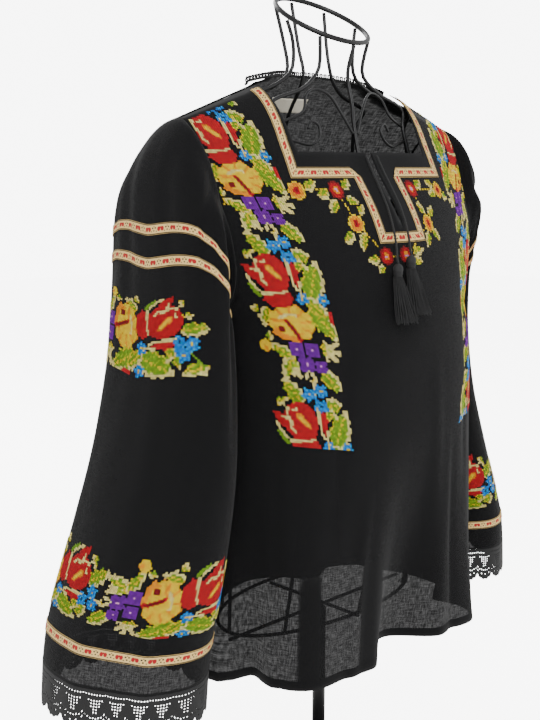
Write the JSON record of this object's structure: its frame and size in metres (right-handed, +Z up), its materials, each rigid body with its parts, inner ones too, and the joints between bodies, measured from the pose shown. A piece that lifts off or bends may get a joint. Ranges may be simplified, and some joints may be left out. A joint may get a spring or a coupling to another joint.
{
  "type": "embroidered blouse on a wire dress form",
  "caption": "Loose cotton blouse with bell sleeves, square slit neck, tasselled ties, lace cuffs and cross-stitch flowers, hung on a wire dress form with a round base.",
  "frame": {"origin": "centre of the underside of the round base", "axes": "+Z up, front of the blouse faces -Y, the wearer's right is -X"},
  "size_m": [0.7328, 0.3259, 0.9679],
  "materials": {
    "cotton_voile": "matte, thin and slightly see-through",
    "cotton_lace": "matte thread",
    "woven_ribbon": "matte woven",
    "label_tape": "matte woven",
    "cotton_cord": "matte thread",
    "painted_wire": "semi-gloss black"
  },
  "bodies": {
    "root": {"front_panel": "cotton_voile", "back_panel": "cotton_voile", "sleeve_right": "cotton_voile", "sleeve_left": "cotton_voile", "cuff_lace_right": "cotton_lace", "cuff_lace_left": "cotton_lace", "neck_lace": "cotton_lace", "neck_ribbon": "woven_ribbon", "upper_ribbon_right": "woven_ribbon", "middle_ribbon_right": "woven_ribbon", "lower_ribbon_right": "woven_ribbon", "upper_ribbon_left": "woven_ribbon", "middle_ribbon_left": "woven_ribbon", "lower_ribbon_left": "woven_ribbon", "neck_label": "label_tape", "tie_cord_right": "cotton_cord", "tie_cord_left": "cotton_cord", "tassel_right": "cotton_cord", "tassel_left": "cotton_cord", "neck_ring": "painted_wire", "lower_hoop": "painted_wire", "rib_front": "painted_wire", "rib_front_right": "painted_wire", "rib_front_left": "painted_wire", "rib_right": "painted_wire", "rib_left": "painted_wire", "rib_back_right": "painted_wire", "rib_back_left": "painted_wire", "rib_back": "painted_wire", "arch_front_right": "painted_wire", "arch_front_left": "painted_wire", "scroll_front_right": "painted_wire", "scroll_front_left": "painted_wire", "cross_bar_front": "painted_wire", "cross_bar_side": "painted_wire", "post": "painted_wire", "base": "painted_wire"}
  },
  "joints": []
}
